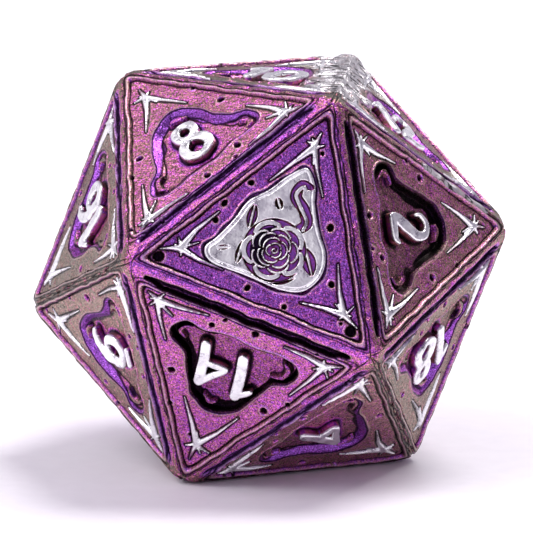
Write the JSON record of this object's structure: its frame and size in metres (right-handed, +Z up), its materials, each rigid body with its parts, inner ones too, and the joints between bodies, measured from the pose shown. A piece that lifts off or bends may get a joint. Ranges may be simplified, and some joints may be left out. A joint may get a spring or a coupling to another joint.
{
  "type": "polyhedral die",
  "caption": "Metal icosahedral die with recessed faces, raised silver numerals, corner stars and a rose in place of the highest number; it rests on any of its faces.",
  "frame": {"origin": "middle of the resting face, on the surface the die stands on", "axes": "+Z up through the face opposite the resting one; two opposite waist corners lie on the X axis; -Y is the side where the rose faces"},
  "size_m": [0.0244, 0.0214, 0.02],
  "materials": {
    "casting": "grainy cast metal with a colour-shifting violet, magenta and copper coating, dark in the recesses",
    "silver": "satin bright plating on the raised numerals, stars and rose plate"
  },
  "bodies": {
    "root": {"die_body": "casting", "numeral_1": "silver", "numeral_10_tens": "silver", "numeral_10_units": "silver", "numeral_11_tens": "silver", "numeral_11_units": "silver", "numeral_12_tens": "silver", "numeral_12_units": "silver", "numeral_13_tens": "silver", "numeral_13_units": "silver", "numeral_14_tens": "silver", "numeral_14_units": "silver", "numeral_15_tens": "silver", "numeral_15_units": "silver", "numeral_16_tens": "silver", "numeral_16_units": "silver", "numeral_17_tens": "silver", "numeral_17_units": "silver", "numeral_18_tens": "silver", "numeral_18_units": "silver", "numeral_19_tens": "silver", "numeral_19_units": "silver", "numeral_2": "silver", "numeral_3": "silver", "numeral_4": "silver", "numeral_5": "silver", "numeral_6": "silver", "numeral_6_bar": "silver", "numeral_7": "silver", "numeral_8": "silver", "numeral_9": "silver", "numeral_9_bar": "silver", "rose_emblem": "silver"}
  },
  "joints": []
}
